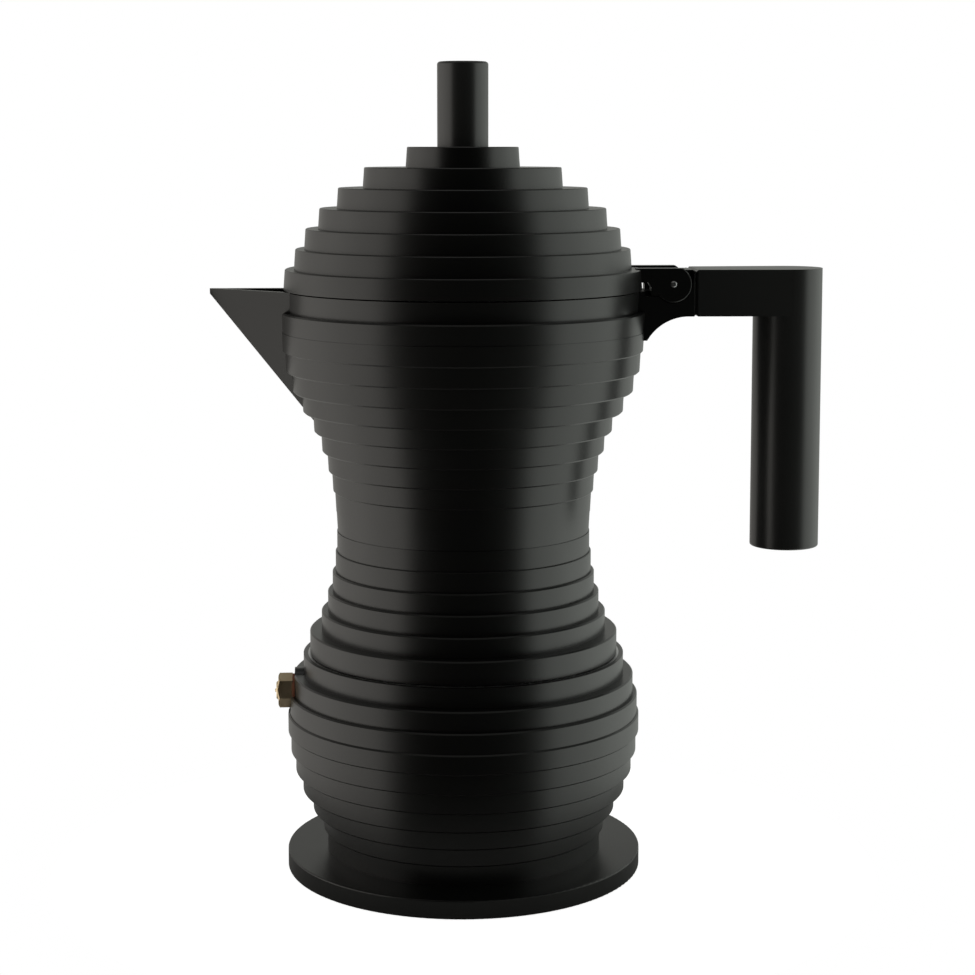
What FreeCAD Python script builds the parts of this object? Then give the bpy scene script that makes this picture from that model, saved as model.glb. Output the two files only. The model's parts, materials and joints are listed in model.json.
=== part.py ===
import FreeCAD, Part
import math
import os
import re
import Sketcher
from FreeCAD import Placement, Rotation, Vector

# A stove-top moka pot turned and cast as a stack of equal rings.
# Frame: +Z up through the centre of the pot, origin on the underside of the foot disc,
# handle towards +X, spout and safety valve towards -X. All sizes are millimetres.

SIZES = {
    # the stack of rings
    "ring_pitch": 6.5, "foot_radius": 58.0, "foot_height": 6.0, "foot_recess": 1.0,
    "joint_gap": 0.4, "skirt_drop": 0.9, "lid_gap": 0.5, "collector_rings": 18, "lid_rings": 7,
    "lid_draft": 0.23, "ball_draft": 0.17, "ring_bevel": 0.45, "edge_break": 0.22,
    # outlines that the rings follow
    "dome_radius": 59.03, "dome_level": 175.87, "rim_radius": 57.48, "ball_radius": 47.1,
    "ball_level": 177.51, "ball_offset": 11.4, "mouth_radius": 56.6, "waist_radius": 87.05,
    "waist_level": 112.0, "waist_offset": 128.1, "skirt_radius": 50.2, "wall": 3.2,
    # boiler
    "spigot_radius": 42.0, "neck_radius": 41.0, "neck_height": 13.0, "neck_bore": 37.4,
    "belly_level": 48.0, "belly_bore": 53.5, "belly_swell": 54.0, "shoulder_bore": 47.5,
    "shoulder_swell": 33.0, "floor_bore": 41.5, "boiler_floor": 10.5,
    # what lies between boiler and collector
    "flange_radius": 41.2, "flange_height": 1.2, "basket_radius": 36.6, "basket_depth": 21.0,
    "sheet_metal": 0.9, "stem_radius": 5.0, "stem_end": 15.0, "screen_height": 0.7,
    "gasket_radius": 41.6, "gasket_bore": 33.0, "gasket_height": 3.0, "filter_radius": 40.6,
    "filter_height": 0.7, "screen_ledge": 1.4, "hole_spacing": 5.6, "hole_radius": 0.65,
    # collector
    "skirt_bore": 42.2, "chamber_bore": 53.2, "chamber_shoulder": 172.0, "chamber_swell": 31.0,
    "waist_bore": 44.9, "waist_bore_level": 147.0, "chamber_foot": 39.2, "chamber_floor": 94.5,
    "recess_radius": 38.0, "boss_radius": 8.5, "boss_top": 103.0, "riser_radius": 6.0,
    "riser_bore": 4.4, "riser_seat": 95.5, "riser_top": 150.0, "riser_top_radius": 5.0,
    "cap_radius": 6.8, "cap_top": 157.0,
    # spout
    "spout_reach": 81.2, "spout_root": 48.0, "spout_slope": 1.26, "spout_spread": 0.458,
    "spout_tip": 0.35, "spout_wall": 2.3, "spout_rise": 1.0,
    # hinge bracket and lid hinge
    "bracket_width": 20.0, "bracket_end": 74.4, "bracket_top": 196.0, "bracket_foot": 181.2,
    "bracket_root": 50.0, "bracket_start": 61.3, "gusset_foot": 173.5, "gusset_start": 58.6,
    "gusset_curve": 15.5, "gusset_end": 71.2, "knuckle_drop": 1.2, "pin_x": 67.0,
    "pin_level": 191.6, "pin_radius": 1.1, "pin_play": 0.05, "ear_radius": 5.9, "ear_top": 5.1,
    "ear_proud": 0.4, "ear_bevel": 0.35, "ear_inside": 6.3, "knuckle_half": 6.0, "ear_play": 0.3,
    "ear_root": 55.0, "ear_start": 59.8, "pocket_start": 57.9, "ear_neck": 192.2,
    "ear_underside": 188.0, "stop_lean": 8.0,
    # handle
    "arm_end_width": 20.0, "grip_x": 105.9, "grip_radius": 11.2, "grip_foot": 104.8,
    "arm_top": 196.2, "joint_bevel": 0.65, "grip_bore": 8.4, "grip_bore_depth": 74.0,
    "tang_length": 13.5, "tang_width": 8.0, "tang_height": 7.0, "tang_play": 0.1, "screw_x": 82.0,
    "screw_radius": 1.5, "screw_head": 2.8, "screw_head_height": 1.9, "end_cap_height": 3.0,
    "end_cap_inset": 0.3, "screw_length": 8.0, "tang_rise": 4.0, "pocket_reach": 12.0,
    # knob
    "knob_washer": 0.8, "knob_washer_radius": 5.0, "knob_seat_radius": 5.5, "stud_play": 0.15,
    "stud_head": 4.0, "stud_head_height": 2.2, "stud_length": 18.9,
    "knob_radius": 8.2, "knob_height": 27.0, "knob_round": 1.0, "stud_radius": 2.0,
    "stud_depth": 12.0, "knob_seat": 228.2, "inner_dome": 56.56, "inner_dome_level": 171.44,
    # safety valve, along its own axis from the flat on the boiler
    "valve_level": 58.3, "valve_face": 55.3, "valve_spot": 7.5, "valve_shank": 3.0,
    "hex_flats": 9.8, "hex_length": 4.6, "valve_washer": 0.8, "shank_length": 7.3,
    "valve_bore": 2.1, "plunger_radius": 1.95, "plunger_stem": 0.6, "spring_radius": 1.35,
    "spring_wire": 0.22, "spring_turns": 6, "spring_seat": 2.7, "valve_washer_radius": 5.4,
}
# outside radius of each boiler ring, from the joint down to the foot
# rows of small holes on each side of the middle one, and the radius that they fill
HOLE_ROWS = 6
HOLE_FIELD = 31.0

BOILER_RINGS = (52.4, 55.6, 57.0, 57.6, 56.7, 55.2, 52.9, 49.6, 46.2, 44.9)

doc = FreeCAD.newDocument("moka_pot")
sheet = doc.addObject("Spreadsheet::Sheet", "Sizes")
for row, (alias, number) in enumerate(SIZES.items(), 1):
    sheet.set(f"A{row}", alias)
    sheet.set(f"B{row}", str(number))
    sheet.setAlias(f"B{row}", alias)
for ring, radius in enumerate(BOILER_RINGS):
    row = len(SIZES) + 1 + ring
    sheet.set(f"A{row}", f"boiler_ring_{ring}")
    sheet.set(f"B{row}", str(radius))
    sheet.setAlias(f"B{row}", f"boiler_ring_{ring}")
doc.recompute()
ALIASES = list(SIZES) + [f"boiler_ring_{ring}" for ring in range(len(BOILER_RINGS))]


def bound(formula):
    """The formula as a document expression, with each size taken from the sheet."""
    return re.sub(r"[a-z_]+[a-z_0-9]*", lambda word: sheet_name(word.group()), str(formula))


def sheet_name(word):
    return f"Sizes.{word}" if word in ALIASES else word


def number(formula):
    """The formula's present value."""
    return float(sheet.evalExpression(bound(formula)))


def new_body(label):
    body = doc.addObject("PartDesign::Body", label)
    body.Label = label
    return body


def new_sketch(body, name, role="XZ_Plane", offset="0"):
    """A sketch on one of the body's own origin planes, moved along the plane's normal."""
    sketch = body.newObject("Sketcher::SketchObject", f"{body.Label}_{name}")
    plane = next(item for item in body.Origin.OriginFeatures if item.Role == role)
    sketch.AttachmentSupport = [(plane, "")]
    sketch.MapMode = "FlatFace"
    sketch.setExpression("AttachmentOffset.Base.z", bound(offset))
    return sketch


def arc_middle(start, end, radius):
    """A point on the shorter arc from start to end; it bulges left for a positive radius."""
    chord = end - start
    half = chord.Length / 2
    rise = abs(radius) - math.sqrt(radius ** 2 - half ** 2)
    left = Vector(-chord.y, chord.x, 0).normalize()
    return (start + end) / 2 + left * math.copysign(rise, radius)


def outline(sketch, corners):
    """A closed outline through corners (across, up), pinned by expressions.
    A third item on a corner is the signed radius of the arc that leaves it."""
    places = [Vector(number(corner[0]), number(corner[1]), 0) for corner in corners]
    first = sketch.GeometryCount
    count = len(corners)
    for index, corner in enumerate(corners):
        start, end = places[index], places[(index + 1) % count]
        if len(corner) > 2:
            middle = arc_middle(start, end, number(corner[2]))
            sketch.addGeometry(Part.Arc(start, middle, end), False)
        else:
            sketch.addGeometry(Part.LineSegment(start, end), False)
    for index, corner in enumerate(corners):
        edge, following = first + index, first + (index + 1) % count
        arc_edge = len(corner) > 2
        arc_next = len(corners[(index + 1) % count]) > 2
        edge_end = end_of(sketch, edge, places[(index + 1) % count]) if arc_edge else 2
        next_start = end_of(sketch, following, places[(index + 1) % count]) if arc_next else 1
        sketch.addConstraint(Sketcher.Constraint("Coincident", edge, edge_end, following, next_start))
        own_start = end_of(sketch, edge, places[index]) if arc_edge else 1
        pin(sketch, "DistanceX", edge, own_start, corner[0])
        pin(sketch, "DistanceY", edge, own_start, corner[1])
        if arc_edge:
            size = Sketcher.Constraint("Radius", edge, abs(number(corner[2])))
            spot = sketch.addConstraint(size)
            sketch.setExpression(f"Constraints[{spot}]", bound(f"abs({corner[2]})"))


def end_of(sketch, edge, place):
    """Which end of an arc, 1 or 2, lies at the place."""
    near_start = (sketch.getPoint(edge, 1) - place).Length < (sketch.getPoint(edge, 2) - place).Length
    return 1 if near_start else 2


def pin(sketch, kind, edge, end, formula):
    spot = sketch.addConstraint(Sketcher.Constraint(kind, -1, 1, edge, end, number(formula)))
    sketch.setExpression(f"Constraints[{spot}]", bound(formula))


def circle(sketch, across, up, radius):
    """A circle pinned at (across, up)."""
    place = Vector(number(across), number(up), 0)
    edge = sketch.addGeometry(Part.Circle(place, Vector(0, 0, 1), number(radius)), False)
    pin(sketch, "DistanceX", edge, 3, across)
    pin(sketch, "DistanceY", edge, 3, up)
    spot = sketch.addConstraint(Sketcher.Constraint("Radius", edge, number(radius)))
    sketch.setExpression(f"Constraints[{spot}]", bound(radius))


def turn(body, corners, name="profile", cut=False):
    """Revolve an outline in the XZ plane around the body's own Z axis."""
    sketch = new_sketch(body, name)
    outline(sketch, corners)
    kind = "PartDesign::Groove" if cut else "PartDesign::Revolution"
    feature = body.newObject(kind, f"{body.Label}_{name}_turned")
    feature.Profile = sketch
    feature.ReferenceAxis = (sketch, ["V_Axis"])
    feature.Angle = 360
    check_change(body, feature, cut)
    return feature


def pad(body, sketch, length, cut=False, reverse=False, both_ways=False):
    kind = "PartDesign::Pocket" if cut else "PartDesign::Pad"
    feature = body.newObject(kind, f"{sketch.Label}_made")
    feature.Profile = sketch
    feature.setExpression("Length", bound(length))
    feature.Reversed = reverse
    if both_ways:
        feature.SideType = "Symmetric"
    check_change(body, feature, cut)
    return feature


def check_change(body, feature, cut):
    """Recompute, and make sure that the feature added or removed material."""
    before = feature.BaseFeature.Shape.Volume if feature.BaseFeature else 0.0
    doc.recompute()
    after = feature.Shape.Volume
    if (after >= before) if cut else (after <= before):
        raise RuntimeError(f"{body.Label}: {feature.Label} changed nothing")


def round_edges(body, radius, wanted, kind="Fillet"):
    """Round, or chamfer, the edges of the body's last feature that are wanted."""
    base = body.Tip
    names = [f"Edge{n}" for n, edge in enumerate(base.Shape.Edges, 1) if wanted(edge)]
    if not names:
        raise RuntimeError(f"{body.Label}: no edge to round")
    feature = body.newObject(f"PartDesign::{kind}", f"{body.Label}_{kind}_{len(body.Group)}")
    feature.Base = (base, names)
    feature.setExpression("Radius" if kind == "Fillet" else "Size", bound(radius))
    doc.recompute()
    if not feature.isValid() or feature.Shape.isNull():
        raise RuntimeError(f"{body.Label}: rounding failed")


def is_ring_edge(edge, radius, level):
    """Whether the edge is a level circle around Z with this radius and height."""
    if not isinstance(edge.Curve, Part.Circle):
        return False
    centre = edge.Curve.Center
    off_axis = math.hypot(centre.x, centre.y)
    return abs(edge.Curve.Radius - radius) + abs(centre.z - level) + off_axis < 0.01


# ---- the ring stack -------------------------------------------------------------------

BOILER_TOP = f"(foot_height + {len(BOILER_RINGS)} * ring_pitch)"
COLLECTOR_FOOT = f"({BOILER_TOP} + joint_gap)"
COLLECTOR_TOP = f"({COLLECTOR_FOOT} + skirt_drop + collector_rings * ring_pitch)"
LID_FOOT = f"({COLLECTOR_TOP} + lid_gap)"
LID_TOP = f"({LID_FOOT} + lid_rings * ring_pitch)"
NECK_TOP = f"({BOILER_TOP} + neck_height)"
FLANGE_TOP = f"({NECK_TOP} + flange_height)"
GASKET_TOP = f"({FLANGE_TOP} + gasket_height)"
FILTER_TOP = f"({GASKET_TOP} + filter_height)"


def lid_ring_radius(ring):
    """Rings 0 to 5 follow the dome; ring 6 is the rim."""
    if ring == SIZES["lid_rings"] - 1:
        return "rim_radius"
    level = f"({LID_TOP} - ({ring} + 0.5) * ring_pitch)"
    return f"sqrt(dome_radius^2 - ({level} - dome_level)^2)"


def collector_ring_radius(ring):
    """Mouth ring, ball, waist, then the skirt ring that meets the boiler."""
    level = f"({COLLECTOR_TOP} - ({ring} + 0.5) * ring_pitch)"
    if ring == 0:
        return "mouth_radius"
    if ring < 6:
        return f"(ball_offset + sqrt(ball_radius^2 - ({level} - ball_level)^2))"
    if ring < SIZES["collector_rings"] - 1:
        return f"(waist_offset - sqrt(waist_radius^2 - ({level} - waist_level)^2))"
    return "skirt_radius"


def ring_outline(count, top, radius_of, draft_of):
    """Outside corners of a stack of rings, from the top down."""
    corners = []
    for ring in range(count):
        radius, draft = radius_of(ring), draft_of(ring)
        corners.append((f"{radius} - ({draft})", f"{top} - {ring} * ring_pitch"))
        corners.append((f"{radius} + ({draft})", f"{top} - {ring + 1} * ring_pitch"))
    return corners


def bevel_rings(body, corners):
    """Bevel the corner that stands proud at each step between rings."""
    wide, narrow = [], []
    places = [(number(across), number(up)) for across, up in corners]
    for upper, lower in zip(places[1::2], places[2::2]):
        ledge = abs(upper[0] - lower[0])
        proud = upper if upper[0] > lower[0] else lower
        if ledge > number("ring_bevel") + 0.1:
            wide.append(proud)
        elif ledge > number("edge_break") + 0.05:
            narrow.append(proud)
    for spots, size in ((wide, "ring_bevel"), (narrow, "edge_break")):
        if spots:
            round_edges(body, size, lambda edge: any(is_ring_edge(edge, *spot) for spot in spots), "Chamfer")


# ---- boiler ---------------------------------------------------------------------------

def make_foot_disc():
    body = new_body("foot_disc")
    turn(body, [("0", "0"), ("foot_radius", "0"), ("foot_radius", "foot_height"),
                ("spigot_radius", "foot_height"), ("spigot_radius", "foot_height - foot_recess"),
                ("0", "foot_height - foot_recess")])
    rim = number("foot_radius")
    round_edges(body, "edge_break * 2",
                lambda edge: is_ring_edge(edge, rim, 0) or is_ring_edge(edge, rim, number("foot_height")))


def make_boiler():
    body = new_body("boiler")
    rings = ring_outline(len(BOILER_RINGS), BOILER_TOP, lambda ring: f"boiler_ring_{ring}", lambda ring: "0")
    turn(body, [("0", NECK_TOP), ("neck_radius", NECK_TOP), ("neck_radius", BOILER_TOP)] + rings
         + [("spigot_radius", "foot_height"), ("spigot_radius", "foot_height - foot_recess"),
            ("0", "foot_height - foot_recess")])
    bevel_rings(body, rings)
    # flat-faced boss for the safety valve, cut into the rings
    spot = new_sketch(body, "valve_boss", "YZ_Plane", "-valve_face + 6")
    circle(spot, "0", "valve_level", "valve_spot")
    pad(body, spot, "6", reverse=True)
    face = new_sketch(body, "valve_flat", "YZ_Plane", "-valve_face")
    circle(face, "0", "valve_level", "valve_spot + 0.2")
    pad(body, face, "6", cut=True)
    turn(body, [("0", f"{NECK_TOP} + 1"), ("neck_bore", f"{NECK_TOP} + 1"),
                ("neck_bore", f"{BOILER_TOP} - wall"),
                ("shoulder_bore", f"{BOILER_TOP} - wall", "shoulder_swell"),
                ("belly_bore", "belly_level", "belly_swell"), ("floor_bore", "boiler_floor + 3.5"),
                ("floor_bore - 3", "boiler_floor"), ("0", "boiler_floor")], "inside", cut=True)
    boss = new_sketch(body, "inner_boss", "YZ_Plane", "-valve_face + 5.3")
    circle(boss, "0", "valve_level", "valve_spot - 1")
    pad(body, boss, "5", reverse=True)
    bore = new_sketch(body, "valve_bore", "YZ_Plane", "-valve_face - 1")
    circle(bore, "0", "valve_level", "valve_shank")
    pad(body, bore, "12", cut=True, reverse=True)
    lip = number("neck_radius")
    round_edges(body, "0.8", lambda edge: is_ring_edge(edge, lip, number(NECK_TOP)), "Chamfer")


# ---- safety valve ---------------------------------------------------------------------

def valve_placement():
    """The valve's own +Z points out of the boiler, along -X."""
    place = Vector(-number("valve_face"), 0, number("valve_level"))
    return Placement(place, Rotation(Vector(0, 1, 0), -90))


def make_valve_body():
    body = new_body("valve_body")
    hexagon = new_sketch(body, "hexagon", "XY_Plane", "valve_washer")
    corner_radius = "(hex_flats / sqrt(3))"
    tilt = 15
    corner_angles = [60 * side + tilt for side in range(6)]
    outline(hexagon, [(f"{corner_radius} * cos({angle})", f"{corner_radius} * sin({angle})")
                      for angle in corner_angles])
    pad(body, hexagon, "hex_length")
    turn(body, [("0", "-shank_length"), ("valve_shank - 0.4", "-shank_length"),
                ("valve_shank", "-shank_length + 0.4"), ("valve_shank", "valve_washer + 0.5"),
                ("0", "valve_washer + 0.5")], "shank")
    outer = "(valve_washer + hex_length)"
    turn(body, [("0", "-shank_length - 1"), ("1.0", "-shank_length - 1"), ("1.0", "-shank_length + 1.5"),
                ("valve_bore", "-shank_length + 1.5"), ("valve_bore", f"{outer} - 1"),
                ("valve_bore + 0.5", f"{outer} - 1"), ("valve_bore + 0.5", f"{outer} + 1"),
                ("0", f"{outer} + 1")], "bore", cut=True)
    # corners of the hexagon turned off at 30 degrees
    reach = 6.0
    turn(body, [("hex_flats / 2", f"{outer}"), (f"{reach}", f"{outer} - ({reach} - hex_flats / 2) * tan(30)"),
                (f"{reach}", f"{outer}")], "crown", cut=True)
    body.Placement = valve_placement()


def make_valve_washer():
    body = new_body("valve_washer")
    turn(body, [("valve_shank + 0.05", "0"), ("valve_washer_radius", "0"),
                ("valve_washer_radius", "valve_washer"),
                ("valve_shank + 0.05", "valve_washer")])
    body.Placement = valve_placement()


def make_valve_cap():
    body = new_body("valve_cap")
    outer = "(valve_washer + hex_length)"
    turn(body, [("plunger_stem + 0.08", f"{outer} - 1"), ("valve_bore + 0.5", f"{outer} - 1"),
                ("valve_bore + 0.5", outer), ("valve_bore + 0.9", outer),
                ("valve_bore + 0.9", f"{outer} + 0.3"),
                ("valve_bore + 0.5", f"{outer} + 0.7"), ("plunger_stem + 0.08", f"{outer} + 0.7")])
    body.Placement = valve_placement()


def make_valve_plunger():
    body = new_body("valve_plunger")
    seat = "(-shank_length + 1.5)"
    turn(body, [("0", f"{seat} - 0.8"), ("0.6", f"{seat} - 0.8"), ("0.98", seat), ("plunger_radius", seat),
                ("plunger_radius", f"{seat} + 1.2"), ("plunger_stem", f"{seat} + 1.2"),
                ("plunger_stem", "valve_washer + hex_length + 0.95"),
                ("plunger_stem - 0.2", "valve_washer + hex_length + 1.15"),
                ("0", "valve_washer + hex_length + 1.15")])
    body.Placement = valve_placement()


def make_valve_spring():
    """A coil from the plunger's head to the cap, made as one wire swept along a helix."""
    start = "(-shank_length + spring_seat + spring_wire)"
    length = "(valve_washer + hex_length - 1 + shank_length - spring_seat - 2 * spring_wire)"
    helix = doc.addObject("Part::Helix", "spring_line")
    helix.setExpression("Radius", bound("spring_radius"))
    helix.setExpression("Height", bound(length))
    helix.setExpression("Pitch", bound(f"{length} / spring_turns"))
    wire = doc.addObject("Part::Circle", "spring_section")
    wire.setExpression("Radius", bound("spring_wire"))
    wire.Placement = Placement(Vector(number("spring_radius"), 0, 0), Rotation(Vector(1, 0, 0), 90))
    coil = doc.addObject("Part::Sweep", "valve_spring")
    coil.Label = "valve_spring"
    coil.Sections = [wire]
    coil.Spine = (helix, [])
    coil.Solid = True
    coil.Frenet = True
    coil.Placement = valve_placement().multiply(Placement(Vector(0, 0, number(start)), Rotation()))
    doc.recompute()
    return coil


# ---- funnel, gasket and filter --------------------------------------------------------

def hole_grid(sketch):
    """Small round holes on a triangular grid, inside a radius."""
    spacing = number("hole_spacing")
    for row in range(-HOLE_ROWS, HOLE_ROWS + 1):
        for column in range(-HOLE_ROWS, HOLE_ROWS + 1):
            across = (column + 0.5 * (row % 2)) * spacing
            up = row * spacing * math.sqrt(3) / 2
            if math.hypot(across, up) < HOLE_FIELD:
                circle(sketch, f"{column + 0.5 * (row % 2)} * hole_spacing",
                       f"{row} * hole_spacing * sqrt(3) / 2", "hole_radius")


def make_funnel():
    body = new_body("funnel")
    ledge = f"({NECK_TOP} - basket_depth + screen_ledge)"
    inside = "(basket_radius - sheet_metal)"
    bottom = f"({NECK_TOP} - basket_depth)"
    turn(body, [("flange_radius", FLANGE_TOP), ("flange_radius", NECK_TOP), ("basket_radius", NECK_TOP),
                ("basket_radius", bottom), ("stem_radius", f"{bottom} - 6"), ("stem_radius", "stem_end"),
                ("stem_radius - sheet_metal", "stem_end"), ("stem_radius - sheet_metal", f"{bottom} - 5"),
                (f"{inside} - 1.9", f"{ledge} - 0.4"), (f"{inside} - 1.9", ledge), (inside, ledge),
                (inside, FLANGE_TOP)])


def make_perforated_disc(label, radius, foot, height):
    body = new_body(label)
    turn(body, [("0", foot), (radius, foot), (radius, f"{foot} + {height}"), ("0", f"{foot} + {height}")])
    holes = new_sketch(body, "holes", "XY_Plane", f"{foot} - 1")
    hole_grid(holes)
    pad(body, holes, "4", cut=True, reverse=True)


def make_gasket():
    body = new_body("gasket")
    turn(body, [("gasket_bore", FLANGE_TOP), ("gasket_radius", FLANGE_TOP), ("gasket_radius", GASKET_TOP),
                ("gasket_bore", GASKET_TOP)])


# ---- collector ------------------------------------------------------------------------

def spout_section(body, name, reach, inset, top):
    """A V with a level top across the spout, at this distance from the pot's axis."""
    sketch = new_sketch(body, name, "YZ_Plane", f"-({reach})")
    ahead = f"(spout_reach - ({reach}))"
    half = f"(spout_tip + spout_spread * {ahead} - {inset})"
    depth = f"(2 * spout_tip + spout_slope * {ahead} - 1.4 * {inset})"
    outline(sketch, [(f"-{half}", top), ("0", f"{COLLECTOR_TOP} - {depth}"), (half, top)])
    return sketch


def add_spout(body):
    loft = body.newObject("PartDesign::AdditiveLoft", "spout_outside")
    loft.Profile = spout_section(body, "spout_root", "spout_root", "0", COLLECTOR_TOP)
    loft.Sections = [spout_section(body, "spout_end", "spout_reach", "0", f"{COLLECTOR_TOP} + spout_rise")]
    check_change(body, loft, False)


def cut_spout(body):
    loft = body.newObject("PartDesign::SubtractiveLoft", "spout_channel")
    above = f"{COLLECTOR_TOP} + spout_rise + 0.5"
    loft.Profile = spout_section(body, "channel_root", "spout_root - 8", "spout_wall", above)
    loft.Sections = [spout_section(body, "channel_end", "spout_reach - 5.6", "spout_wall", above)]
    check_change(body, loft, True)


def add_bracket(body):
    side = new_sketch(body, "bracket_side")
    outline(side, [("bracket_root", COLLECTOR_TOP), ("bracket_root", "gusset_foot"),
                   ("gusset_start", "gusset_foot", "gusset_curve"),
                   ("gusset_end", "bracket_foot"), ("bracket_end", "bracket_foot"),
                   ("bracket_end", "bracket_top"), ("pin_x + 1.6", "bracket_top"),
                   ("pin_x + 1.6", "bracket_top - knuckle_drop"),
                   ("bracket_start + 2", "bracket_top - knuckle_drop"),
                   ("bracket_start", "bracket_top - knuckle_drop - 2"), ("bracket_start", COLLECTOR_TOP)])
    pad(body, side, "bracket_width", both_ways=True)
    end = number("bracket_end")
    round_edges(body, "joint_bevel", lambda edge: all(abs(v.X - end) < 0.01 for v in edge.Vertexes), "Chamfer")
    tang = new_sketch(body, "tang", "YZ_Plane", "bracket_end")
    outline(tang, [("-tang_width / 2", "bracket_foot + tang_rise"), ("tang_width / 2", "bracket_foot + tang_rise"),
                   ("tang_width / 2", "bracket_foot + tang_rise + tang_height"),
                   ("-tang_width / 2", "bracket_foot + tang_rise + tang_height")])
    pad(body, tang, "tang_length")
    screw = new_sketch(body, "tang_hole", "XY_Plane", "bracket_foot + 3")
    circle(screw, "screw_x", "0", "screw_radius")
    pad(body, screw, "7.2", cut=True, reverse=True)


def cut_hinge_pockets(body):
    """A pocket on each side of the knuckle, where the lid's ears turn."""
    depth = "(bracket_width / 2 - knuckle_half)"
    lean = number("stop_lean")
    reach = number("pocket_reach")
    clear = number("ear_radius + ear_play")
    rise = (clear * math.cos(math.radians(lean)) + reach * math.sin(math.radians(lean)),
            -clear * math.sin(math.radians(lean)) + reach * math.cos(math.radians(lean)))
    foot = (clear * math.cos(math.radians(lean)), -clear * math.sin(math.radians(lean)))
    for side, level in (("near", "knuckle_half"), ("far", "-bracket_width / 2")):
        disc = new_sketch(body, f"ear_disc_{side}", "XZ_Plane", level)
        circle(disc, "pin_x", "pin_level", "ear_radius + ear_play")
        pad(body, disc, depth, cut=True, reverse=True)
        sweep = new_sketch(body, f"ear_sweep_{side}", "XZ_Plane", level)
        outline(sweep, [("pocket_start", "ear_underside - ear_play"), ("pin_x", "ear_underside - ear_play"),
                        ("pin_x", "pin_level"), (f"pin_x + {foot[0]}", f"pin_level + {foot[1]}"),
                        (f"pin_x + {rise[0]}", f"pin_level + {rise[1]}"),
                        ("pocket_start", f"pin_level + {rise[1]}")])
        pad(body, sweep, depth, cut=True, reverse=True)
    hole = new_sketch(body, "pin_hole")
    circle(hole, "pin_x", "pin_level", "pin_radius")
    pad(body, hole, "bracket_width + 2", cut=True, both_ways=True)


def make_collector():
    body = new_body("collector")
    count = SIZES["collector_rings"]
    rings = ring_outline(count, COLLECTOR_TOP, collector_ring_radius,
                         lambda ring: "-ball_draft" if ring < 12 else "0")
    rings[-1] = ("skirt_radius", COLLECTOR_FOOT)
    turn(body, [("0", COLLECTOR_TOP)] + rings + [("0", COLLECTOR_FOOT)])
    bevel_rings(body, rings)
    add_spout(body)
    add_bracket(body)
    cut_hinge_pockets(body)
    turn(body, [("0", f"{COLLECTOR_TOP} + 12"), ("chamber_bore", f"{COLLECTOR_TOP} + 12"),
                ("chamber_bore", "chamber_shoulder", "chamber_swell"),
                ("waist_bore", "waist_bore_level", "-(waist_radius + wall)"),
                ("chamber_foot", "chamber_floor + 2"), ("chamber_foot - 2", "chamber_floor"),
                ("boss_radius + 1", "chamber_floor + 3"), ("boss_radius", "chamber_floor + 4"),
                ("boss_radius", "boss_top"), ("0", "boss_top")], "chamber", cut=True)
    cut_spout(body)
    turn(body, [("0", f"{COLLECTOR_FOOT} - 1"), ("skirt_bore", f"{COLLECTOR_FOOT} - 1"),
                ("skirt_bore", FILTER_TOP), ("recess_radius", FILTER_TOP),
                ("recess_radius", f"{FILTER_TOP} + 1"), ("riser_bore", f"{FILTER_TOP} + 4.2"),
                ("riser_bore", "riser_seat"), ("riser_radius", "riser_seat"),
                ("riser_radius", "boss_top + 1"), ("0", "boss_top + 1")], "underside", cut=True)


def make_riser_tube():
    body = new_body("riser_tube")
    turn(body, [("riser_bore", "riser_seat"), ("riser_radius", "riser_seat"), ("riser_radius", "boss_top"),
                ("riser_top_radius", "riser_top"), ("riser_top_radius - 1.1", "riser_top")])


def make_riser_cap():
    """A closed cap that turns the coffee sideways through two windows."""
    body = new_body("riser_cap")
    turn(body, [("riser_top_radius", "riser_top - 4"), ("cap_radius", "riser_top - 4"),
                ("cap_radius", "cap_top - 1"), ("cap_radius - 1", "cap_top"), ("0", "cap_top"),
                ("0", "cap_top - 1.5"), ("riser_top_radius", "cap_top - 1.5")])
    window = new_sketch(body, "window", "XZ_Plane")
    outline(window, [("-2.4", "riser_top + 0.6"), ("2.4", "riser_top + 0.6"), ("2.4", "cap_top - 2.4"),
                     ("-2.4", "cap_top - 2.4")])
    pad(body, window, "cap_radius * 2 + 2", cut=True, both_ways=True)


# ---- lid and knob ---------------------------------------------------------------------

def add_ears(body):
    """Two flat ears with round ends that hold the hinge pin and stand a little proud of the bracket."""
    outer = "(bracket_width / 2 + ear_proud)"
    for side, level in (("near", "ear_inside"), ("far", f"-{outer}")):
        arm = new_sketch(body, f"ear_arm_{side}", "XZ_Plane", level)
        outline(arm, [("ear_root", "ear_neck"), ("ear_start - 1", "ear_neck"), ("ear_start", "ear_neck - 1.6"),
                      ("ear_start", "ear_underside"), ("pin_x", "ear_underside"),
                      ("pin_x", "pin_level + ear_top"), ("ear_root", "pin_level + ear_top")])
        pad(body, arm, f"{outer} - ear_inside")
        disc = new_sketch(body, f"ear_disc_{side}", "XZ_Plane", level)
        circle(disc, "pin_x", "pin_level", "ear_radius")
        pad(body, disc, f"{outer} - ear_inside")
    proud = number(outer)
    round_edges(body, "ear_bevel",
                lambda edge: isinstance(edge.Curve, Part.Circle)
                and abs(edge.Curve.Radius - number("ear_radius")) < 0.01
                and abs(abs(edge.Curve.Center.y) - proud) < 0.01, "Chamfer")
    flat = new_sketch(body, "ear_flat")
    past_ear = "(pin_x + ear_radius + 1)"
    outline(flat, [("ear_start", "pin_level + ear_top"), (past_ear, "pin_level + ear_top"),
                   (past_ear, "pin_level + ear_radius + 1"), ("ear_start", "pin_level + ear_radius + 1")])
    pad(body, flat, "bracket_width + 4", cut=True, both_ways=True)


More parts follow.
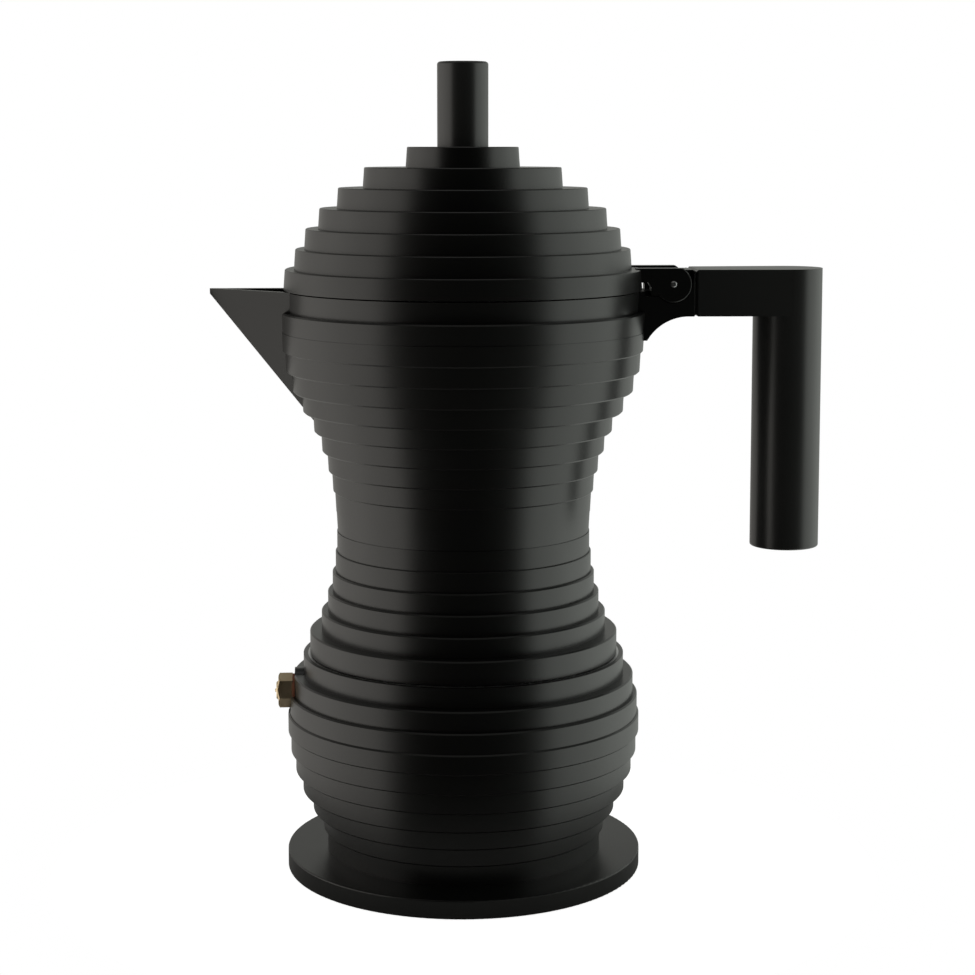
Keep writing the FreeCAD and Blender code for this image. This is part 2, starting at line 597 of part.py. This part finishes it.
def make_lid():
    body = new_body("lid")
    rings = ring_outline(SIZES["lid_rings"], LID_TOP, lid_ring_radius, lambda ring: "lid_draft")
    turn(body, [("0", LID_TOP)] + rings + [("0", LID_FOOT)])
    edges = [(number(across), number(up)) for across, up in rings[0::2]]
    round_edges(body, "edge_break", lambda edge: any(is_ring_edge(edge, *spot) for spot in edges), "Chamfer")
    add_ears(body)
    hole = new_sketch(body, "pin_hole")
    circle(hole, "pin_x", "pin_level", "pin_radius + pin_play")
    pad(body, hole, "bracket_width + 4", cut=True, both_ways=True)
    top = "(inner_dome_level + inner_dome)"
    foot = f"({LID_FOOT} - 1)"
    rim = f"sqrt(inner_dome^2 - ({foot} - inner_dome_level)^2)"
    turn(body, [("0", foot), (rim, foot, "inner_dome * -1"), ("0", top)], "inside", cut=True)
    seat = new_sketch(body, "knob_seat", "XY_Plane", "knob_seat")
    circle(seat, "0", "0", "knob_seat_radius")
    pad(body, seat, "3", cut=True)
    stud = new_sketch(body, "stud_hole", "XY_Plane", "knob_seat - 1")
    circle(stud, "0", "0", "stud_radius + stud_play")
    pad(body, stud, "10", cut=True, reverse=True)


def make_knob():
    body = new_body("knob")
    turn(body, [("stud_radius", LID_TOP), ("knob_radius", LID_TOP), ("knob_radius", f"{LID_TOP} + knob_height"),
                ("0", f"{LID_TOP} + knob_height"), ("0", f"{LID_TOP} + stud_depth"),
                ("stud_radius", f"{LID_TOP} + stud_depth")])
    top = number(f"{LID_TOP} + knob_height")
    round_edges(body, "knob_round", lambda edge: is_ring_edge(edge, number("knob_radius"), top))


def make_knob_washer():
    body = new_body("knob_washer")
    turn(body, [("stud_radius + stud_play", "knob_seat - knob_washer"), ("knob_washer_radius", "knob_seat - knob_washer"),
                ("knob_washer_radius", "knob_seat"),
                ("stud_radius + stud_play", "knob_seat")])


def make_screw(label, radius, head_radius, head_height, length):
    """A slotted pan-head screw: head down, shank up from the seat at z = 0."""
    body = new_body(label)
    turn(body, [("0", f"-{head_height}"), (f"{head_radius} - 0.4", f"-{head_height}"),
                (head_radius, f"-{head_height} + 0.4"), (head_radius, "0"), (radius, "0"),
                (radius, f"{length} - 0.4"), (f"{radius} - 0.4", length), ("0", length)])
    slot = new_sketch(body, "slot", "XY_Plane", f"-{head_height}")
    outline(slot, [(f"-{head_radius} - 1", "-0.4"), (f"{head_radius} + 1", "-0.4"),
                   (f"{head_radius} + 1", "0.4"), (f"-{head_radius} - 1", "0.4")])
    pad(body, slot, f"{head_height} / 2", cut=True, reverse=True)
    return body


def make_hinge_pin():
    body = new_body("hinge_pin")
    half = "(bracket_width / 2 + ear_proud + 0.3)"
    turn(body, [("0", f"-{half}"), ("pin_radius - 0.4", f"-{half}"), ("pin_radius", f"-{half} + 0.4"),
                ("pin_radius", f"{half} - 0.4"), ("pin_radius - 0.4", half), ("0", half)])
    place = Vector(number("pin_x"), 0, number("pin_level"))
    body.Placement = Placement(place, Rotation(Vector(1, 0, 0), 90))


# ---- handle ---------------------------------------------------------------------------

def make_handle():
    body = new_body("handle")
    arm = new_sketch(body, "arm", "XY_Plane", "bracket_foot")
    outline(arm, [("bracket_end", "-arm_end_width / 2"), ("grip_x", "-grip_radius"),
                  ("grip_x", "grip_radius"), ("bracket_end", "arm_end_width / 2")])
    pad(body, arm, "arm_top - bracket_foot")
    end = number("bracket_end")
    round_edges(body, "joint_bevel", lambda edge: all(abs(v.X - end) < 0.01 for v in edge.Vertexes), "Chamfer")
    grip = new_sketch(body, "grip", "XY_Plane", "grip_foot")
    circle(grip, "grip_x", "0", "grip_radius")
    pad(body, grip, "arm_top - grip_foot")
    foot = number("grip_foot")
    round_edges(body, "0.6", lambda edge: all(abs(v.Z - foot) < 0.01 for v in edge.Vertexes))
    bore = new_sketch(body, "bore", "XY_Plane", "grip_foot - 1")
    circle(bore, "grip_x", "0", "grip_bore")
    pad(body, bore, "grip_bore_depth + 1", cut=True, reverse=True)
    socket = new_sketch(body, "socket", "YZ_Plane", "bracket_end - 1")
    half = "(tang_width / 2 + tang_play)"
    low, high = "bracket_foot + tang_rise - tang_play", "bracket_foot + tang_rise + tang_height + tang_play"
    outline(socket, [(f"-{half}", low), (half, low), (half, high), (f"-{half}", high)])
    pad(body, socket, "tang_length + 1.5", cut=True, reverse=True)
    shank = new_sketch(body, "screw_hole", "XY_Plane", "bracket_foot - 1")
    circle(shank, "screw_x", "0", "screw_radius + 0.1")
    pad(body, shank, "8", cut=True, reverse=True)
    head = new_sketch(body, "screw_recess", "XY_Plane", "bracket_foot - 1")
    circle(head, "screw_x", "0", "screw_head + 0.3")
    pad(body, head, "screw_head_height + 1.2", cut=True, reverse=True)


def make_grip_end_cap():
    body = new_body("grip_end_cap")
    foot = "(grip_foot + end_cap_inset)"
    turn(body, [("0", foot), ("grip_bore - 0.4", foot), ("grip_bore", f"{foot} + 0.4"),
                ("grip_bore", f"{foot} + end_cap_height"), ("grip_bore - 1.6", f"{foot} + end_cap_height"),
                ("grip_bore - 1.6", f"{foot} + 1.4"), ("0", f"{foot} + 1.4")])
    body.Placement = Placement(Vector(number("grip_x"), 0, 0), Rotation())


def make_all():
    make_foot_disc()
    make_boiler()
    make_valve_body()
    make_valve_washer()
    make_valve_cap()
    make_valve_plunger()
    make_valve_spring()
    make_funnel()
    ledge = f"({NECK_TOP} - basket_depth + screen_ledge)"
    make_perforated_disc("funnel_screen", "(basket_radius - sheet_metal - 0.1)", ledge, "screen_height")
    make_gasket()
    make_perforated_disc("filter_plate", "filter_radius", GASKET_TOP, "filter_height")
    make_collector()
    make_riser_tube()
    make_riser_cap()
    make_lid()
    make_knob()
    make_knob_washer()
    knob_screw = make_screw("knob_screw", "stud_radius", "stud_head", "stud_head_height", "stud_length")
    knob_screw.setExpression("Placement.Base.z", bound("knob_seat - knob_washer"))
    make_hinge_pin()
    make_handle()
    handle_screw = make_screw("handle_screw", "screw_radius", "screw_head", "screw_head_height", "screw_length")
    handle_screw.setExpression("Placement.Base.x", bound("screw_x"))
    handle_screw.setExpression("Placement.Base.z", bound("bracket_foot + screw_head_height + 0.2"))
    make_grip_end_cap()


def write_parts():
    """Check every object, then write each sub-part to its own file."""
    doc.recompute()
    broken = [item.Label for item in doc.Objects if "Invalid" in item.State or "Error" in item.State]
    if broken:
        raise RuntimeError(f"failed objects: {broken}")
    pieces = [item for item in doc.Objects if item.TypeId == "PartDesign::Body"]
    pieces.append(doc.getObject("valve_spring"))
    for piece in pieces:
        if piece.Shape.isNull() or not piece.Shape.isValid() or not piece.Shape.Solids:
            raise RuntimeError(f"bad shape: {piece.Label}")
    os.makedirs("parts", exist_ok=True)
    for piece in pieces:
        piece.Shape.exportStep(f"parts/{piece.Label}.step")
        box = piece.Shape.BoundBox
        print(f"{piece.Label:16s} {len(piece.Shape.Solids)} solid {piece.Shape.Volume / 1000:8.2f} cm3 "
              f"x {box.XMin:.2f}..{box.XMax:.2f} y {box.YMin:.2f}..{box.YMax:.2f} z {box.ZMin:.2f}..{box.ZMax:.2f}")


make_all()
write_parts()
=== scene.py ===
import json
import math

import bpy
from mathutils import Matrix, Vector


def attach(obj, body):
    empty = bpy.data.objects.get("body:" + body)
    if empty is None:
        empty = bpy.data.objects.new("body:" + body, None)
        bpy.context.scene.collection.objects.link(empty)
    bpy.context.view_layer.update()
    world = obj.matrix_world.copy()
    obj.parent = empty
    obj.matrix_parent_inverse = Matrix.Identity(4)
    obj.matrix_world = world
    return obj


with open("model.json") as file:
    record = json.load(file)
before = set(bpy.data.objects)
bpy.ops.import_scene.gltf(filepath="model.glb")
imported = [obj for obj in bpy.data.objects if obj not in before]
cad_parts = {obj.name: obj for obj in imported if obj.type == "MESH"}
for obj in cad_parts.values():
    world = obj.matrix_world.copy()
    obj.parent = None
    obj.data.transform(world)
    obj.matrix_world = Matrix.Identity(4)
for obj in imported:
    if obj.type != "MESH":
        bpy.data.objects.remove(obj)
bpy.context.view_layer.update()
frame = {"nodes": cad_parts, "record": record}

nodes = frame["nodes"]
scene = bpy.context.scene


# ---- node-tree helpers ----------------------------------------------------------------

def new_material(name, roughness, metallic=0.0):
    """A Principled material; returns the material, its tree and its shader."""
    material = bpy.data.materials.new(name)
    material.use_nodes = True
    tree = material.node_tree
    shader = tree.nodes["Principled BSDF"]
    shader.inputs["Roughness"].default_value = roughness
    shader.inputs["Metallic"].default_value = metallic
    return material, tree, shader


def object_position(tree):
    """The surface point in metres, in the same frame as the CAD."""
    return tree.nodes.new("ShaderNodeTexCoord").outputs["Object"]


def noise(tree, position, scale, detail=4.0, roughness=0.55):
    node = tree.nodes.new("ShaderNodeTexNoise")
    node.inputs["Scale"].default_value = scale
    node.inputs["Detail"].default_value = detail
    node.inputs["Roughness"].default_value = roughness
    tree.links.new(position, node.inputs["Vector"])
    return node.outputs["Fac"]


def lathe_lines(tree, position, scale):
    """Fine, slightly uneven rings around the Z axis."""
    node = tree.nodes.new("ShaderNodeTexWave")
    node.wave_type = "RINGS"
    node.rings_direction = "Z"
    node.inputs["Scale"].default_value = scale
    node.inputs["Distortion"].default_value = 1.5
    node.inputs["Detail"].default_value = 2.0
    tree.links.new(position, node.inputs["Vector"])
    return node.outputs["Fac"]


def ramp(tree, value, stops):
    """Map a 0 to 1 value through colours at the given places."""
    node = tree.nodes.new("ShaderNodeValToRGB")
    band = node.color_ramp
    while len(band.elements) < len(stops):
        band.elements.new(0.5)
    for element, (place, colour) in zip(band.elements, stops):
        element.position = place
        element.color = (*colour, 1.0)
    tree.links.new(value, node.inputs["Fac"])
    return node.outputs["Color"]


def remap(tree, value, low, high, start=0.0, end=1.0, smooth=False):
    """Spread a value that runs from start to end between low and high."""
    node = tree.nodes.new("ShaderNodeMapRange")
    node.inputs["From Min"].default_value = start
    node.inputs["From Max"].default_value = end
    node.inputs["To Min"].default_value = low
    node.inputs["To Max"].default_value = high
    if smooth:
        node.interpolation_type = "SMOOTHSTEP"
    tree.links.new(value, node.inputs["Value"])
    return node.outputs["Result"]


def bump(tree, height, distance, strength):
    node = tree.nodes.new("ShaderNodeBump")
    node.inputs["Distance"].default_value = distance
    node.inputs["Strength"].default_value = strength
    tree.links.new(height, node.inputs["Height"])
    return node.outputs["Normal"]


def put(tree, value, socket):
    """Link an output, or set a plain value."""
    if isinstance(value, bpy.types.NodeSocket):
        tree.links.new(value, socket)
    else:
        socket.default_value = value


def maths(tree, operation, first, second=0.0):
    node = tree.nodes.new("ShaderNodeMath")
    node.operation = operation
    put(tree, first, node.inputs[0])
    put(tree, second, node.inputs[1])
    return node.outputs["Value"]


def vector_maths(tree, operation, first, second=None):
    """A vector operation; gives the number for LENGTH and DOT_PRODUCT, else the vector."""
    node = tree.nodes.new("ShaderNodeVectorMath")
    node.operation = operation
    put(tree, first, node.inputs[0])
    if second is not None:
        put(tree, second, node.inputs[1])
    return node.outputs["Value" if operation in ("LENGTH", "DOT_PRODUCT") else "Vector"]


def blend(tree, amount, first, second, colour=False):
    """Mix from first to second by an amount from 0 to 1."""
    node = tree.nodes.new("ShaderNodeMix")
    node.data_type = "RGBA" if colour else "FLOAT"
    kind = "RGBA" if colour else "VALUE"
    sockets = [socket for socket in node.inputs if socket.type == kind and socket.name in "AB"]
    put(tree, amount, node.inputs[0])
    put(tree, first, sockets[0])
    put(tree, second, sockets[1])
    return next(socket for socket in node.outputs if socket.type == kind)


# ---- materials ------------------------------------------------------------------------

COAT_DARK, COAT_LIGHT = (0.0037, 0.0037, 0.0036), (0.0050, 0.0050, 0.0048)
METAL_DARK, METAL_LIGHT = (0.55, 0.55, 0.56), (0.74, 0.74, 0.75)
COAT_ROUGHNESS = 0.30
METAL_ROUGHNESS = 0.30
PLASTIC_DARK, PLASTIC_LIGHT = (0.0180, 0.0182, 0.0180), (0.0210, 0.0213, 0.0210)
PLASTIC_ROUGHNESS = 0.30
CLOUD_SCALE = 22.0            # slow change of tone over a coat
TARNISH_SCALE = 140.0         # and over bare metal
LATHE_SCALE, LATHE_DEPTH = 2200.0, 0.00003


def satin_coat(name, dark, light, roughness, grain_scale, grain_depth):
    """Baked coat or moulded plastic: fine orange peel and a slightly uneven gloss."""
    material, tree, shader = new_material(name, roughness)
    position = object_position(tree)
    cloud = noise(tree, position, CLOUD_SCALE, 3.0)
    grain = noise(tree, position, grain_scale, 2.0, 0.5)
    tree.links.new(ramp(tree, cloud, ((0.3, dark), (0.75, light))), shader.inputs["Base Color"])
    tree.links.new(remap(tree, cloud, roughness - 0.04, roughness + 0.05), shader.inputs["Roughness"])
    tree.links.new(bump(tree, grain, grain_depth, 0.35), shader.inputs["Normal"])
    return material


def turned_metal(name, dark, light, roughness):
    """Metal turned on a lathe: fine rings around the pot's axis and a little tarnish."""
    material, tree, shader = new_material(name, roughness, 1.0)
    position = object_position(tree)
    cloud = noise(tree, position, TARNISH_SCALE, 5.0)
    lines = lathe_lines(tree, position, LATHE_SCALE)
    tree.links.new(ramp(tree, cloud, ((0.3, dark), (0.7, light))), shader.inputs["Base Color"])
    tree.links.new(remap(tree, cloud, roughness - 0.06, roughness + 0.1), shader.inputs["Roughness"])
    tree.links.new(bump(tree, lines, LATHE_DEPTH, 0.25), shader.inputs["Normal"])
    return material


def soft_plain(name, dark, light, roughness, grain_scale):
    """Rubber or fibre: dull, with a fine grain."""
    material, tree, shader = new_material(name, roughness)
    position = object_position(tree)
    cloud = noise(tree, position, grain_scale, 5.0)
    tree.links.new(ramp(tree, cloud, ((0.3, dark), (0.7, light))), shader.inputs["Base Color"])
    tree.links.new(remap(tree, cloud, roughness - 0.05, roughness + 0.05), shader.inputs["Roughness"])
    tree.links.new(bump(tree, cloud, 0.00005, 0.4), shader.inputs["Normal"])
    return material


def coated_casting(name, bare_mask):
    """Black coated outside, bare turned aluminium where the mask is 1."""
    material, tree, shader = new_material(name, COAT_ROUGHNESS)
    position = object_position(tree)
    bare = bare_mask(tree, position)
    cloud = noise(tree, position, CLOUD_SCALE, 3.0)
    tarnish = noise(tree, position, TARNISH_SCALE, 5.0)
    coat = ramp(tree, cloud, ((0.3, COAT_DARK), (0.75, COAT_LIGHT)))
    metal = ramp(tree, tarnish, ((0.3, METAL_DARK), (0.7, METAL_LIGHT)))
    coat_gloss = remap(tree, cloud, COAT_ROUGHNESS - 0.04, COAT_ROUGHNESS + 0.05)
    metal_gloss = remap(tree, tarnish, METAL_ROUGHNESS - 0.05, METAL_ROUGHNESS + 0.12)
    grain = noise(tree, position, 2600.0, 2.0, 0.5)
    lines = lathe_lines(tree, position, 1800.0)
    tree.links.new(blend(tree, bare, coat, metal, colour=True), shader.inputs["Base Color"])
    tree.links.new(blend(tree, bare, coat_gloss, metal_gloss), shader.inputs["Roughness"])
    tree.links.new(bare, shader.inputs["Metallic"])
    tree.links.new(bump(tree, blend(tree, bare, grain, lines), 0.00005, 0.3), shader.inputs["Normal"])
    return material


BARE_CORE = 0.0440            # nothing in the boiler nearer to the axis than this is coated
SEAT_RADIUS, SEAT_LEVEL = 0.0509, 0.0709
CHAMBER_CORE, CHAMBER_EDGE = 0.0405, 0.0545
DOME_LEVEL, DOME_RADIUS = 0.17144, 0.0568
FACING_LIMIT = -0.3           # how far a surface has to look back towards the axis


def axis_distance(tree, position):
    """Distance from the pot's axis, and the level direction away from it."""
    level = vector_maths(tree, "MULTIPLY", position, (1.0, 1.0, 0.0))
    return vector_maths(tree, "LENGTH", level), vector_maths(tree, "NORMALIZE", level)


def faces_axis(tree, away):
    """1 where the surface looks back towards the pot's axis."""
    normal = tree.nodes.new("ShaderNodeTexCoord").outputs["Normal"]
    return maths(tree, "LESS_THAN", vector_maths(tree, "DOT_PRODUCT", normal, away), FACING_LIMIT)


def boiler_mask(tree, position):
    """Inside of the boiler, its neck, and the machined seat around the neck."""
    radius, away = axis_distance(tree, position)
    core = maths(tree, "LESS_THAN", radius, BARE_CORE)
    height = vector_maths(tree, "DOT_PRODUCT", position, (0.0, 0.0, 1.0))
    seat = maths(tree, "MULTIPLY", maths(tree, "LESS_THAN", radius, SEAT_RADIUS),
                 maths(tree, "GREATER_THAN", height, SEAT_LEVEL))
    return maths(tree, "MAXIMUM", maths(tree, "MAXIMUM", core, seat), faces_axis(tree, away))


def collector_mask(tree, position):
    """The coffee chamber, the riser's boss and everything inside the skirt."""
    radius, away = axis_distance(tree, position)
    core = maths(tree, "LESS_THAN", radius, CHAMBER_CORE)
    near = maths(tree, "LESS_THAN", radius, CHAMBER_EDGE)
    wall = maths(tree, "MULTIPLY", near, faces_axis(tree, away))
    return maths(tree, "MAXIMUM", core, wall)


def lid_mask(tree, position):
    """The hollow under the dome."""
    from_centre = vector_maths(tree, "SUBTRACT", position, (0.0, 0.0, DOME_LEVEL))
    return maths(tree, "LESS_THAN", vector_maths(tree, "LENGTH", from_centre), DOME_RADIUS)


SLOT_MATERIALS = {
    "foot_coat": satin_coat("foot_coat", COAT_DARK, COAT_LIGHT, COAT_ROUGHNESS, 2200.0, 0.00005),
    "bare_aluminium": turned_metal("bare_aluminium", (0.62, 0.62, 0.63), (0.78, 0.78, 0.79), 0.30),
    "brass": turned_metal("brass", (0.74, 0.56, 0.34), (0.88, 0.74, 0.52), 0.38),
    "steel": turned_metal("steel", (0.45, 0.45, 0.46), (0.60, 0.60, 0.61), 0.28),
    "spring_steel": turned_metal("spring_steel", (0.45, 0.45, 0.46), (0.58, 0.58, 0.6), 0.25),
    "seal_rubber": soft_plain("seal_rubber", (0.62, 0.60, 0.55), (0.72, 0.70, 0.66), 0.5, 400.0),
    "fibre": soft_plain("fibre", (0.30, 0.10, 0.06), (0.42, 0.16, 0.09), 0.7, 900.0),
    "black_plastic": satin_coat("black_plastic", PLASTIC_DARK, PLASTIC_LIGHT, PLASTIC_ROUGHNESS,
                                3200.0, 0.00004),
}
CASTING_MATERIALS = {
    "boiler": coated_casting("boiler_casting", boiler_mask),
    "collector": coated_casting("collector_casting", collector_mask),
    "lid": coated_casting("lid_casting", lid_mask),
}
for entry in frame["record"]["subparts"]:
    node_name = entry["node"]
    finish = CASTING_MATERIALS.get(node_name) or SLOT_MATERIALS[entry["material_slot"]]
    for spot in nodes[node_name].material_slots:
        spot.material = finish


# ---- screw threads --------------------------------------------------------------------

THREAD_LEAD = 0.004
THREAD_STEPS = 72             # faces in one turn of the thread
THREAD_RUNOUT = 12            # steps over which a ridge fades at each end
THREAD_SLIVER = 0.2           # share of the ridge's width that is left at its ends
BOILER_THREAD = {"foot": 0.0735, "top": 0.0815, "root": 0.04098, "crest": 0.04155}
COLLECTOR_THREAD = {"foot": 0.0745, "top": 0.0830, "root": 0.04222, "crest": 0.04165}


def make_thread(name, body, first_angle, foot, top, root, crest):
    """One rounded thread ridge that fades out at both ends; it rides on a body of the frame."""
    turns = (top - foot) / THREAD_LEAD
    count = round(turns * THREAD_STEPS)
    half = 0.30 * THREAD_LEAD
    profile = [(-half, 0.0), (-0.45 * half, 0.8), (0.0, 1.0), (0.45 * half, 0.8), (half, 0.0)]
    points, faces = [], []
    for step in range(count + 1):
        angle = first_angle + math.tau * step / THREAD_STEPS
        height = foot + THREAD_LEAD * step / THREAD_STEPS
        fade = min(1.0, step / THREAD_RUNOUT, (count - step) / THREAD_RUNOUT)
        width = max(fade, THREAD_SLIVER)
        for along, rise in profile:
            radius = root + (crest - root) * rise * fade
            points.append((radius * math.cos(angle), radius * math.sin(angle), height + along * width))
    wide = len(profile)
    for step in range(count):
        for spot in range(wide - 1):
            corner = step * wide + spot
            face = (corner, corner + wide, corner + wide + 1, corner + 1)
            faces.append(face if crest > root else face[::-1])
    mesh = bpy.data.meshes.new(name)
    mesh.from_pydata(points, [], faces)
    mesh.shade_smooth()
    mesh.materials.append(SLOT_MATERIALS["bare_aluminium"])
    piece = bpy.data.objects.new(name, mesh)
    scene.collection.objects.link(piece)
    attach(piece, body)


make_thread("boiler_thread", "boiler_group", 0.0, **BOILER_THREAD)
make_thread("collector_thread", "collector_group", math.pi, **COLLECTOR_THREAD)


# ---- camera ---------------------------------------------------------------------------

CAMERA_AWAY = 0.7037          # metres from the pot's axis, level
CAMERA_HEIGHT = 0.2361
CAMERA_TILT = math.radians(6.685)
CAMERA_TURN = math.radians(3.0)      # round the pot from straight in front, towards the spout
CAMERA_YAW = math.radians(0.644)     # the pot stands a little left of the middle
FOCAL_LENGTH = 80.58
LENS_SHIFT = -0.0897
SENSOR_WIDTH = 36.0

eye = bpy.data.objects.new("camera", bpy.data.cameras.new("camera"))
eye.data.lens = FOCAL_LENGTH
eye.data.shift_y = LENS_SHIFT
eye.data.sensor_width = SENSOR_WIDTH
eye.data.clip_start = 0.01
scene.collection.objects.link(eye)
place = Vector((-math.sin(CAMERA_TURN), -math.cos(CAMERA_TURN), 0.0)) * CAMERA_AWAY
place.z = CAMERA_HEIGHT
turn = Matrix.Rotation(-CAMERA_TURN - CAMERA_YAW, 4, "Z")
tilt = Matrix.Rotation(math.pi / 2 - CAMERA_TILT, 4, "X")
eye.matrix_world = Matrix.Translation(place) @ turn @ tilt
scene.camera = eye


# ---- floor and light ------------------------------------------------------------------

FLOOR_RADIUS = 0.135
FLOOR_LEVEL = -0.0002         # just clear of the disc that stands on it
FLOOR_SIDES = 96
FLOOR_LIFT = 0.92             # glow, seen by camera rays alone, that makes the paper look white
PAPER_DARK, PAPER_LIGHT = (0.70, 0.70, 0.70), (0.74, 0.74, 0.74)
OPENING_DIRECTION = (0.0, -1.0, 0.0)
OPENING_OUTER = math.radians(61)
OPENING_INNER = math.radians(48)
OPENING_GLOW = 0.008
TENT_LEFT = (1.32, 1.28, 1.20)
TENT_RIGHT = (1.40, 1.47, 1.37)
SIDE_FADE = 0.7               # the left colour turns into the right one between these slopes
BACK_GLOW = 0.35              # how bright the back wall of the tent is, next to its sides
BACK_FADE = (-0.95, -0.1)     # its fade, as cosines from the opening's direction
TOP_GLOW = 0.15               # how bright the roof is
TOP_FADE = (0.15, 0.75)       # its fade, as sines of the height above the horizon
OVERHEAD_PLACE = (0.0, 0.3, 1.3)
OVERHEAD_SIZE = 0.6
OVERHEAD_RADIANCE = 0.5


def make_floor():
    """A plain round sheet of pale paper."""
    material, tree, shader = new_material("studio_paper", 0.9)
    shader.inputs["Specular IOR Level"].default_value = 0.1
    shader.inputs["Emission Color"].default_value = (1.0, 1.0, 1.0, 1.0)
    fibre = noise(tree, object_position(tree), 60.0, 3.0)
    tree.links.new(ramp(tree, fibre, ((0.2, PAPER_DARK), (0.8, PAPER_LIGHT))), shader.inputs["Base Color"])
    seen = tree.nodes.new("ShaderNodeLightPath").outputs["Is Camera Ray"]
    tree.links.new(remap(tree, seen, 0.0, FLOOR_LIFT), shader.inputs["Emission Strength"])
    angles = [math.tau * side / FLOOR_SIDES for side in range(FLOOR_SIDES)]
    corners = [(FLOOR_RADIUS * math.cos(angle), FLOOR_RADIUS * math.sin(angle), FLOOR_LEVEL)
               for angle in angles]
    mesh = bpy.data.meshes.new("floor")
    mesh.from_pydata(corners, [], [tuple(range(FLOOR_SIDES))])
    mesh.materials.append(material)
    floor = bpy.data.objects.new("floor", mesh)
    scene.collection.objects.link(floor)


def area_light(name, place, aim, width, height, radiance):
    """A softbox whose face has this brightness."""
    data = bpy.data.lights.new(name, "AREA")
    data.shape = "RECTANGLE"
    data.size, data.size_y = width, height
    data.energy = radiance * math.pi * width * height
    lamp = bpy.data.objects.new(name, data)
    lamp.location = place
    lamp.rotation_euler = (Vector(aim) - Vector(place)).to_track_quat("-Z", "Y").to_euler()
    scene.collection.objects.link(lamp)


def make_world():
    """A white tent with a soft dark opening on its -Y side; camera rays see plain white instead."""
    world = bpy.data.worlds.new("studio")
    world.use_nodes = True
    tree = world.node_tree
    direction = tree.nodes.new("ShaderNodeTexCoord").outputs["Generated"]
    across = vector_maths(tree, "DOT_PRODUCT", direction, (1.0, 0.0, 0.0))
    toward = vector_maths(tree, "DOT_PRODUCT", direction, OPENING_DIRECTION)
    side = remap(tree, across, 0.0, 1.0, -SIDE_FADE, SIDE_FADE, smooth=True)
    tint = blend(tree, side, (*TENT_LEFT, 1.0), (*TENT_RIGHT, 1.0), colour=True)
    rim, middle = math.cos(OPENING_OUTER), math.cos(OPENING_INNER)
    opening = remap(tree, toward, 1.0, OPENING_GLOW, rim, middle, smooth=True)
    back = remap(tree, toward, BACK_GLOW, 1.0, *BACK_FADE, smooth=True)
    up = vector_maths(tree, "DOT_PRODUCT", direction, (0.0, 0.0, 1.0))
    top = remap(tree, up, 1.0, TOP_GLOW, *TOP_FADE, smooth=True)
    strength = maths(tree, "MULTIPLY", maths(tree, "MULTIPLY", opening, back), top)
    glow = tree.nodes["Background"]
    tree.links.new(tint, glow.inputs["Color"])
    tree.links.new(strength, glow.inputs["Strength"])
    white = tree.nodes.new("ShaderNodeBackground")
    white.inputs["Color"].default_value = (1.0, 1.0, 1.0, 1.0)
    path = tree.nodes.new("ShaderNodeLightPath")
    choice = tree.nodes.new("ShaderNodeMixShader")
    tree.links.new(path.outputs["Is Camera Ray"], choice.inputs["Fac"])
    tree.links.new(glow.outputs["Background"], choice.inputs[1])
    tree.links.new(white.outputs["Background"], choice.inputs[2])
    tree.links.new(choice.outputs["Shader"], tree.nodes["World Output"].inputs["Surface"])
    scene.world = world


make_floor()
make_world()
area_light("overhead", OVERHEAD_PLACE, (0.0, 0.0, 0.0), OVERHEAD_SIZE, OVERHEAD_SIZE, OVERHEAD_RADIANCE)
scene.view_settings.view_transform = "Standard"
